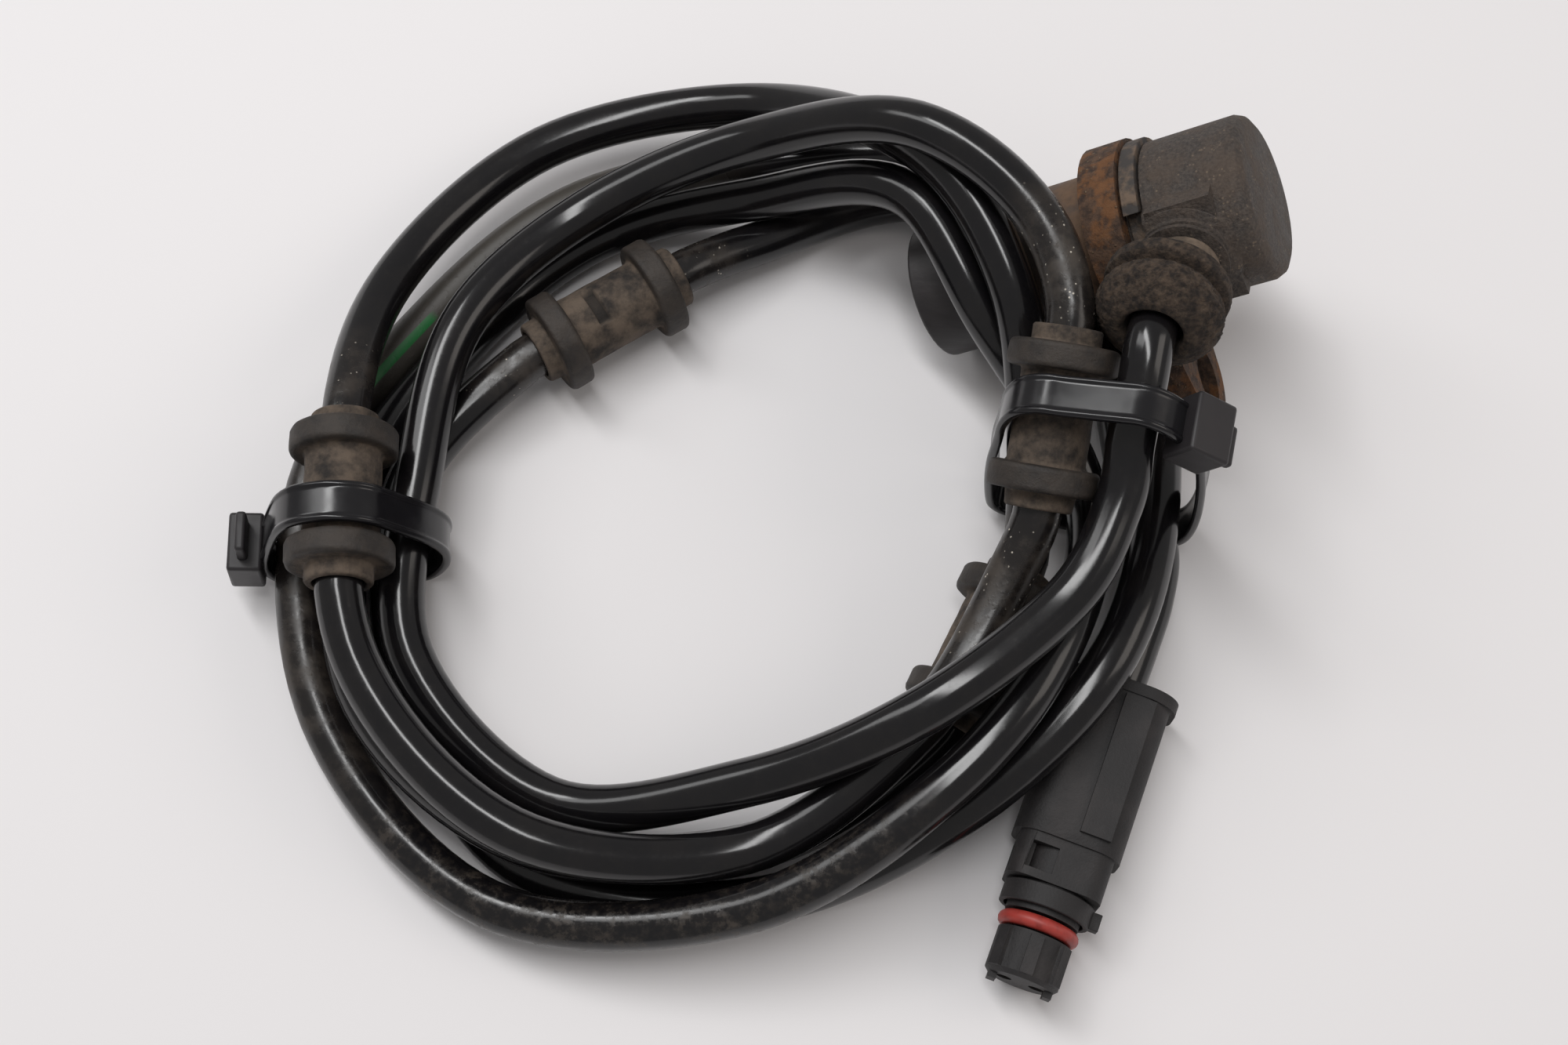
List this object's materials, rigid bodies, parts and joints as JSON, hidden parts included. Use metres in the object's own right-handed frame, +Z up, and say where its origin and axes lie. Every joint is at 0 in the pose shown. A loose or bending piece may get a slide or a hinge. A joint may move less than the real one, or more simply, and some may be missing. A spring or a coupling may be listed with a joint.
{
  "type": "abs wheel speed sensor",
  "caption": "Inductive wheel speed sensor with a round sensing barrel, rusty collar with bolt ear, and a long cable coiled and tied, with grommets and a small round plug.",
  "frame": {"origin": "bottom centre of the box round the sensor head, without its cable and the pieces on the cable", "axes": "+Z up from the table it lies on; +X to the right of the picture, the way the sensing barrel points away from and the longest side of the head's box; +Y away from the camera"},
  "size_m": [0.1252, 0.1133, 0.0386],
  "materials": {
    "black_plastic": "matt, rubbed and dusty",
    "body_plastic": "matt with brown dust",
    "rusty_steel": "rusted all over",
    "iron_core": "plain",
    "copper_wire": "enamelled wire",
    "brass_strip": "plain",
    "boot_rubber": "crumbly and dusty",
    "cable_jacket": "semi-gloss with scuffs and dust",
    "grommet_rubber": "matt with tan dust",
    "tie_nylon": "smooth nylon",
    "connector_plastic": "fine grain",
    "seal_rubber": "matt",
    "red_silicone": "satin"
  },
  "bodies": {
    "root": {"sensor_barrel": "black_plastic", "pole_pin": "iron_core", "coil_bobbin": "body_plastic", "coil_winding": "copper_wire", "magnet": "iron_core", "terminal_1": "brass_strip", "terminal_2": "brass_strip", "mounting_bracket": "rusty_steel", "locating_band": "black_plastic", "sensor_body": "body_plastic", "cable_gland": "black_plastic", "cable_boot": "boot_rubber", "sensor_cable": "cable_jacket", "grommet_1": "grommet_rubber", "grommet_2": "grommet_rubber", "grommet_3": "grommet_rubber", "grommet_4": "grommet_rubber", "cable_tie_1": "tie_nylon", "cable_tie_2": "tie_nylon", "connector_housing": "connector_plastic", "connector_collar": "connector_plastic", "connector_insert": "connector_plastic", "contact_pin_1": "brass_strip", "contact_pin_2": "brass_strip", "connector_rear_seal": "seal_rubber", "connector_o_ring": "red_silicone"}
  },
  "joints": []
}
